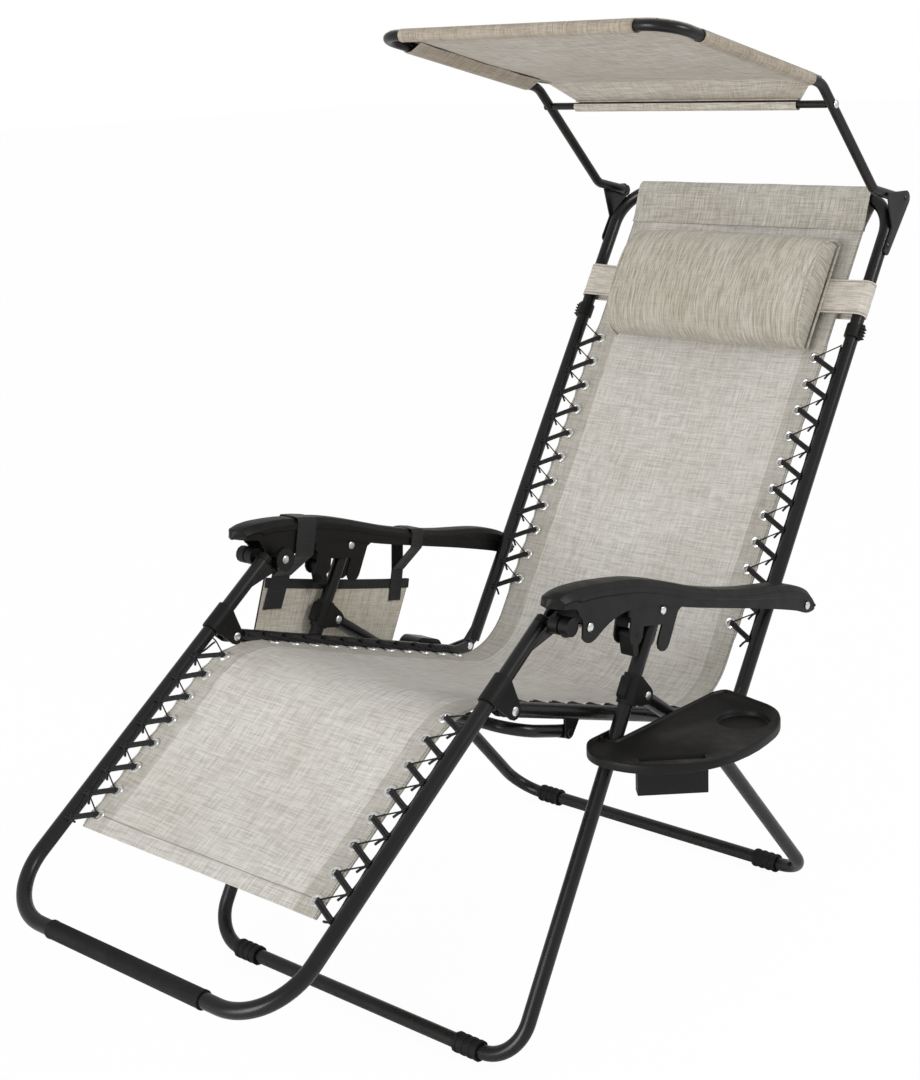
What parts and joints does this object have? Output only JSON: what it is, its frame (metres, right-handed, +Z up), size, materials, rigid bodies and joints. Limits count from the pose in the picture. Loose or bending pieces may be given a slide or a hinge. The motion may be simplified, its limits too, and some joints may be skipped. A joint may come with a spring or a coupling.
{
  "type": "sun lounger",
  "caption": "Reclining folding sun lounger with a laced cloth sling, armrests, side tray, head pillow and a tilting canopy.",
  "frame": {"origin": "middle of the whole extent seen from above, on the floor", "axes": "+X across to the sitter's left, where the tray is, +Y from the foot end to the head end, +Z up"},
  "size_m": [0.8364, 1.5264, 1.409],
  "materials": {
    "painted_tube": "black powder coat",
    "black_plastic": "fine moulded grain",
    "black_rubber": "matt",
    "rivet_steel": "plated steel",
    "sling_cloth": "coated mesh weave, light warm grey",
    "canopy_cloth": "coated mesh weave, warm grey",
    "pillow_cloth": "coated mesh weave with slubs, beige",
    "elastic_cord": "braided cord and webbing, black"
  },
  "bodies": {
    "front_legs": {"front_leg_frame": "painted_tube", "front_foot_pad_left": "black_rubber", "front_foot_pad_right": "black_rubber", "leg_clamp_left": "black_plastic", "leg_clamp_right": "black_plastic", "leg_rivet_left": "rivet_steel", "leg_rivet_right": "rivet_steel", "cup_tray": "black_plastic", "tray_clip": "black_plastic"},
    "rear_legs": {"rear_leg_frame": "painted_tube", "rear_foot_pad_left": "black_rubber", "rear_foot_pad_right": "black_rubber"},
    "arms": {"armrest_left": "black_plastic", "armrest_right": "black_plastic", "arm_bracket_left": "black_plastic", "arm_bracket_right": "black_plastic", "arm_rivet_left": "rivet_steel", "arm_rivet_right": "rivet_steel", "leg_pivot_rivet_left": "rivet_steel", "leg_pivot_rivet_right": "rivet_steel", "back_arm_rivet_left": "rivet_steel", "back_arm_rivet_right": "rivet_steel", "pouch": "pillow_cloth", "pouch_strap_front": "elastic_cord", "pouch_strap_rear": "elastic_cord"},
    "lever_left": {"lock_lever_left": "black_plastic"},
    "lever_right": {"lock_lever_right": "black_plastic"},
    "leg_rest": {"leg_frame": "painted_tube", "foot_sleeve": "black_rubber", "knee_clamp_left": "black_plastic", "knee_clamp_right": "black_plastic", "leg_bumper_left": "black_rubber", "leg_bumper_right": "black_rubber", "knee_rivet_left": "rivet_steel", "knee_rivet_right": "rivet_steel", "sling_leg": "sling_cloth", "lacing_leg_left": "elastic_cord", "lacing_leg_right": "elastic_cord"},
    "seat": {"seat_rail_left": "painted_tube", "seat_rail_right": "painted_tube", "seat_cross_bar": "painted_tube", "hip_rivet_left": "rivet_steel", "hip_rivet_right": "rivet_steel", "sling_seat": "sling_cloth", "lacing_seat_left": "elastic_cord", "lacing_seat_right": "elastic_cord"},
    "back": {"back_frame": "painted_tube", "sling_back": "sling_cloth", "lacing_back_left": "elastic_cord", "lacing_back_right": "elastic_cord", "pillow": "pillow_cloth", "pillow_strap": "sling_cloth", "strap_clip_left": "black_plastic", "strap_clip_right": "black_plastic", "canopy_bracket_left": "painted_tube", "canopy_bracket_right": "painted_tube"},
    "canopy": {"canopy_frame": "painted_tube", "canopy_cross_bar": "painted_tube", "canopy_cloth": "canopy_cloth"}
  },
  "joints": [
    {"name": "leg_fold", "type": "hinge", "parent": "front_legs", "child": "rear_legs", "pos_m": [-0.07723, -0.04117, 0.47241], "axis": [1, 0, 0], "range_deg": [-74, 0]},
    {"name": "arm_tilt", "type": "hinge", "parent": "front_legs", "child": "arms", "pos_m": [-0.07723, -0.00252, 0.59124], "axis": [1, 0, 0], "range_deg": [-1.5, 0.65]},
    {"name": "leg_swing", "type": "hinge", "parent": "arms", "child": "leg_rest", "pos_m": [-0.07723, -0.18054, 0.61398], "axis": [1, 0, 0], "range_deg": [-24, 10]},
    {"name": "seat_swing", "type": "hinge", "parent": "leg_rest", "child": "seat", "pos_m": [-0.07723, -0.29276, 0.518], "axis": [1, 0, 0], "range_deg": [-9.5, 22.8]},
    {"name": "back_swing", "type": "hinge", "parent": "seat", "child": "back", "pos_m": [-0.07723, 0.24854, 0.35215], "axis": [1, 0, 0], "range_deg": [-14.6, 6.1]},
    {"name": "canopy_tilt", "type": "hinge", "parent": "back", "child": "canopy", "pos_m": [-0.07723, 0.75055, 1.10661], "axis": [1, 0, 0], "range_deg": [-105, 20]},
    {"name": "lever_left_turn", "type": "hinge", "parent": "arms", "child": "lever_left", "pos_m": [0.23677, -0.06689, 0.57059], "axis": [1, 0, 0], "range_deg": [-30, 30]},
    {"name": "lever_right_turn", "type": "hinge", "parent": "arms", "child": "lever_right", "pos_m": [-0.39123, -0.06689, 0.57059], "axis": [1, 0, 0], "range_deg": [-30, 30]}
  ],
  "couplings": [
    {"joint": "arm_tilt", "follows": "leg_swing", "ratio": 0.06},
    {"joint": "seat_swing", "follows": "leg_swing", "ratio": -0.9468},
    {"joint": "back_swing", "follows": "leg_swing", "ratio": 0.604}
  ]
}
